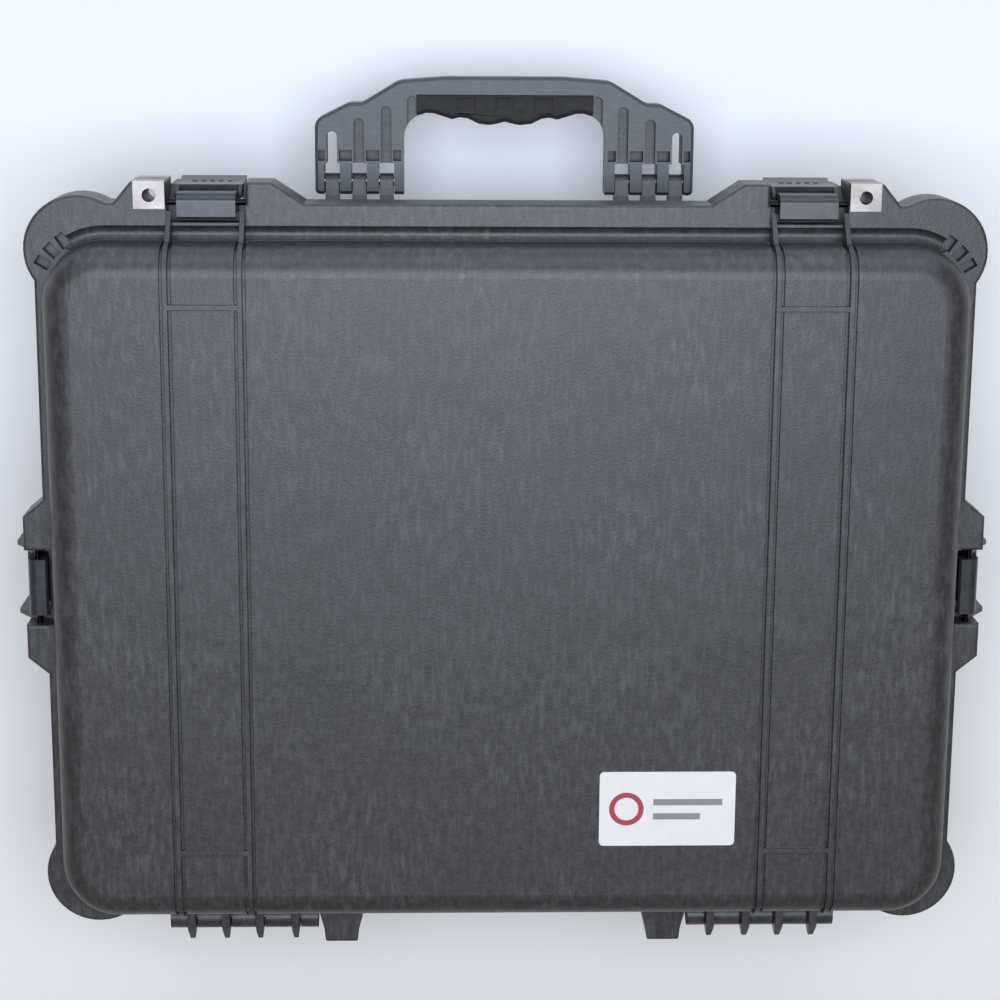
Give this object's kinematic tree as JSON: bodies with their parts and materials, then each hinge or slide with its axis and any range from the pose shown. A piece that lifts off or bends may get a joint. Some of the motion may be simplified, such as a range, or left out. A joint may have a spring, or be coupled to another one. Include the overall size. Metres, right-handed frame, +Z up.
{
  "type": "hard transport case",
  "caption": "Wide, shallow hard case with a hinged, gasketed lid, swing-down carry handle, two-part latches, padlock points and cut foam inside.",
  "frame": {"origin": "middle of the flat bottom panel that the case rests on when it lies flat", "axes": "+Z up through the lid, -Y to the front with the handle and front latches, +Y to the hinges, +X to the right as seen from the front"},
  "size_m": [0.626, 0.5648, 0.2176],
  "materials": {
    "case_shell": "black structural polypropylene, fine moulded grain",
    "latch_plastic": "black ABS, satin, smooth",
    "handle_plastic": "black glass-filled nylon, satin",
    "grip_rubber": "soft black overmoulded rubber, matte",
    "stainless": "brushed stainless steel",
    "pin_steel": "ground stainless steel pins",
    "gasket_rubber": "soft black seal",
    "foam": "dark grey open-cell foam",
    "label_film": null
  },
  "bodies": {
    "base": {"base_tub": "case_shell", "base_rim": "case_shell", "valve_body": "latch_plastic", "valve_seal": "gasket_rubber", "valve_nut": "latch_plastic", "base_foam_pad": "foam", "base_foam_lower": "foam", "base_foam_upper": "foam", "stand_foot_left": "case_shell", "handle_bracket_left": "case_shell", "hinge_pin_left": "pin_steel", "handle_pin_left": "pin_steel", "padlock_plate_lower_left": "stainless", "stand_foot_right": "case_shell", "handle_bracket_right": "case_shell", "hinge_pin_right": "pin_steel", "handle_pin_right": "pin_steel", "padlock_plate_lower_right": "stainless"},
    "lid": {"lid_dome": "case_shell", "lid_rim": "case_shell", "lid_gasket": "gasket_rubber", "lid_foam": "foam", "label": "label_film", "padlock_plate_upper_left": "stainless", "padlock_plate_upper_right": "stainless", "latch_pin_front_left": "pin_steel", "latch_pin_front_right": "pin_steel", "latch_pin_side_left": "pin_steel", "latch_pin_side_right": "pin_steel"},
    "handle": {"handle_frame": "handle_plastic", "handle_grip": "grip_rubber"},
    "hook_front_left": {"latch_hook_front_left": "latch_plastic", "lever_pin_front_left": "pin_steel"},
    "lever_front_left": {"latch_lever_front_left": "latch_plastic"},
    "hook_front_right": {"latch_hook_front_right": "latch_plastic", "lever_pin_front_right": "pin_steel"},
    "lever_front_right": {"latch_lever_front_right": "latch_plastic"},
    "hook_side_left": {"latch_hook_side_left": "latch_plastic", "lever_pin_side_left": "pin_steel"},
    "lever_side_left": {"latch_lever_side_left": "latch_plastic"},
    "hook_side_right": {"latch_hook_side_right": "latch_plastic", "lever_pin_side_right": "pin_steel"},
    "lever_side_right": {"latch_lever_side_right": "latch_plastic"}
  },
  "joints": [
    {"name": "lid_hinge", "type": "hinge", "parent": "base", "child": "lid", "pos_m": [0, 0.232, 0.166], "axis": [-1, 0, 0], "range_deg": [0, 100]},
    {"name": "handle_swing", "type": "hinge", "parent": "base", "child": "handle", "pos_m": [0, -0.245, 0.084], "axis": [1, 0, 0], "range_deg": [-30, 90]},
    {"name": "hook_front_left_swing", "type": "hinge", "parent": "lid", "child": "hook_front_left", "pos_m": [-0.185, -0.2395, 0.175], "axis": [-1, 0, 0], "range_deg": [0, 110]},
    {"name": "lever_front_left_swing", "type": "hinge", "parent": "hook_front_left", "child": "lever_front_left", "pos_m": [-0.185, -0.2431, 0.16], "axis": [-1, 0, 0], "range_deg": [0, 55]},
    {"name": "hook_front_right_swing", "type": "hinge", "parent": "lid", "child": "hook_front_right", "pos_m": [0.185, -0.2395, 0.175], "axis": [-1, 0, 0], "range_deg": [0, 110]},
    {"name": "lever_front_right_swing", "type": "hinge", "parent": "hook_front_right", "child": "lever_front_right", "pos_m": [0.185, -0.2431, 0.16], "axis": [-1, 0, 0], "range_deg": [0, 55]},
    {"name": "hook_side_left_swing", "type": "hinge", "parent": "lid", "child": "hook_side_left", "pos_m": [-0.2965, 0.0035, 0.175], "axis": [0, 1, 0], "range_deg": [0, 110]},
    {"name": "lever_side_left_swing", "type": "hinge", "parent": "hook_side_left", "child": "lever_side_left", "pos_m": [-0.3001, 0.0035, 0.16], "axis": [0, 1, 0], "range_deg": [0, 55]},
    {"name": "hook_side_right_swing", "type": "hinge", "parent": "lid", "child": "hook_side_right", "pos_m": [0.2965, 0.0035, 0.175], "axis": [0, -1, 0], "range_deg": [0, 110]},
    {"name": "lever_side_right_swing", "type": "hinge", "parent": "hook_side_right", "child": "lever_side_right", "pos_m": [0.3001, 0.0035, 0.16], "axis": [0, -1, 0], "range_deg": [0, 55]}
  ]
}
